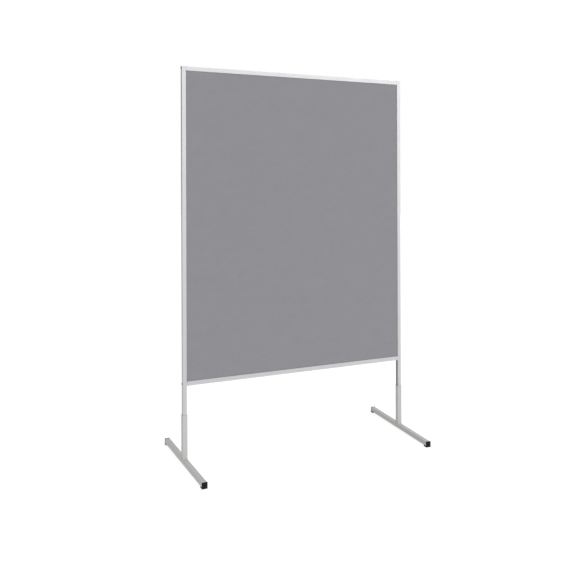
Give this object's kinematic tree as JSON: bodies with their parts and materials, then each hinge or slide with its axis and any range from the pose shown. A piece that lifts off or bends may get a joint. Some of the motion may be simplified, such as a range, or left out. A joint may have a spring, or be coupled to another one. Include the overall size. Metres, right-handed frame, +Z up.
{
  "type": "partition wall",
  "caption": "Free-standing partition wall with a felt-covered pin panel in a slim aluminium frame, whose posts plug into two push-on T feet.",
  "frame": {"origin": "on the floor, midway between the two posts and midway between the fronts and backs of the feet", "axes": "+Z up, the front face looks along -Y, +X runs to the right along the board as seen from the front"},
  "size_m": [1.2304, 0.5904, 1.8715],
  "materials": {
    "anodised_aluminium": "satin anodised extrusion",
    "pin_felt": "needle-punched felt, mid grey",
    "core_board": "honeycomb board core",
    "grey_plastic": "moulded, light grey",
    "black_screw_steel": "black zinc plated",
    "powder_coated_steel": "satin light grey powder coat",
    "black_plastic": "moulded, fine texture",
    "zinc_steel": "bright zinc plated"
  },
  "bodies": {
    "left_foot": {"left_foot_beam": "powder_coated_steel", "left_foot_sleeve": "powder_coated_steel", "left_foot_weld": "powder_coated_steel", "left_foot_front_cap": "black_plastic", "left_foot_rear_cap": "black_plastic", "left_lock_nut": "powder_coated_steel"},
    "board": {"left_post": "anodised_aluminium", "right_post": "anodised_aluminium", "top_rail": "anodised_aluminium", "bottom_rail": "anodised_aluminium", "front_felt": "pin_felt", "back_felt": "pin_felt", "panel_core": "core_board", "left_post_top_cap": "grey_plastic", "right_post_top_cap": "grey_plastic", "left_post_bottom_plug": "grey_plastic", "right_post_bottom_plug": "grey_plastic", "top_left_corner_screw": "black_screw_steel", "top_right_corner_screw": "black_screw_steel", "bottom_left_corner_screw": "black_screw_steel", "bottom_right_corner_screw": "black_screw_steel"},
    "right_foot": {"right_foot_beam": "powder_coated_steel", "right_foot_sleeve": "powder_coated_steel", "right_foot_weld": "powder_coated_steel", "right_foot_front_cap": "black_plastic", "right_foot_rear_cap": "black_plastic", "right_lock_nut": "powder_coated_steel"},
    "left_lock": {"left_lock_screw": "zinc_steel"},
    "right_lock": {"right_lock_screw": "zinc_steel"}
  },
  "joints": [
    {"name": "board_lift", "type": "slide", "parent": "left_foot", "child": "board", "axis": [0, 0, 1], "range_m": [0, 0.205]},
    {"name": "right_foot_slide", "type": "slide", "parent": "board", "child": "right_foot", "axis": [0, 0, -1], "range_m": [0, 0.205]},
    {"name": "left_lock_turn", "type": "hinge", "parent": "left_foot", "child": "left_lock", "pos_m": [-0.59059, 0.01419, 0.177], "axis": [-0.0419, 0.9991, 0], "range_deg": [0, 540]},
    {"name": "right_lock_turn", "type": "hinge", "parent": "right_foot", "child": "right_lock", "pos_m": [0.59059, 0.01419, 0.177], "axis": [0.0419, 0.9991, 0], "range_deg": [0, 540]}
  ],
  "couplings": [
    {"joint": "right_foot_slide", "follows": "board_lift", "ratio": 1}
  ]
}
